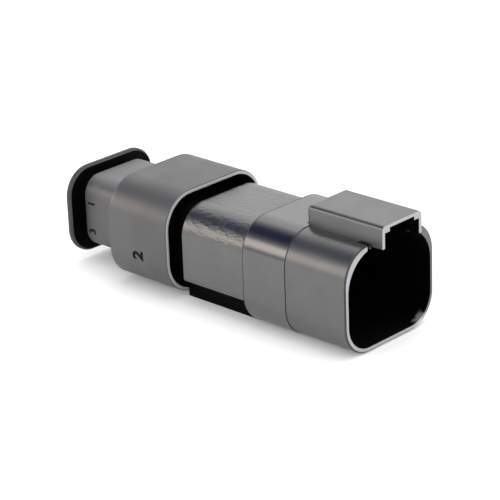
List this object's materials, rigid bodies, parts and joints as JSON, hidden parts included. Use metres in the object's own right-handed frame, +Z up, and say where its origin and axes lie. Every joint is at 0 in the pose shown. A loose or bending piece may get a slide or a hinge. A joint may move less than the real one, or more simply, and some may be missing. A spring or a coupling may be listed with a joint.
{
  "type": "sealed rectangular automotive pin receptacle with boot adapter",
  "caption": "Sealed rectangular wire connector, pin side: shrouded mouth with a latch bridge, clip rails, wedge lock, rear wire seal and a lipped boot adapter.",
  "frame": {"origin": "middle of the whole length and width, on the surface that the connector lies on", "axes": "+X along the mating axis, out of the mouth; +Z up, with the latch bridge on top; +Y across"},
  "size_m": [0.0682, 0.0236, 0.022],
  "materials": {
    "housing_plastic": "black glass-filled thermoplastic, semi-gloss as moulded",
    "adapter_plastic": "black thermoplastic, satin as moulded",
    "seal_silicone": "dark silicone rubber, dull",
    "wedge_plastic": "dark thermoplastic, satin",
    "contact_metal": "nickel-plated copper alloy, bright"
  },
  "bodies": {
    "connector": {"receptacle_housing": "housing_plastic", "boot_adapter": "adapter_plastic", "wire_seal": "seal_silicone", "pin_contact_1": "contact_metal", "pin_contact_2": "contact_metal", "pin_contact_3": "contact_metal", "pin_contact_4": "contact_metal"},
    "wedge": {"wedge_lock": "wedge_plastic"}
  },
  "joints": [
    {"name": "wedge_slide", "type": "slide", "parent": "connector", "child": "wedge", "axis": [1, 0, 0], "range_m": [0, 0.0086]}
  ]
}
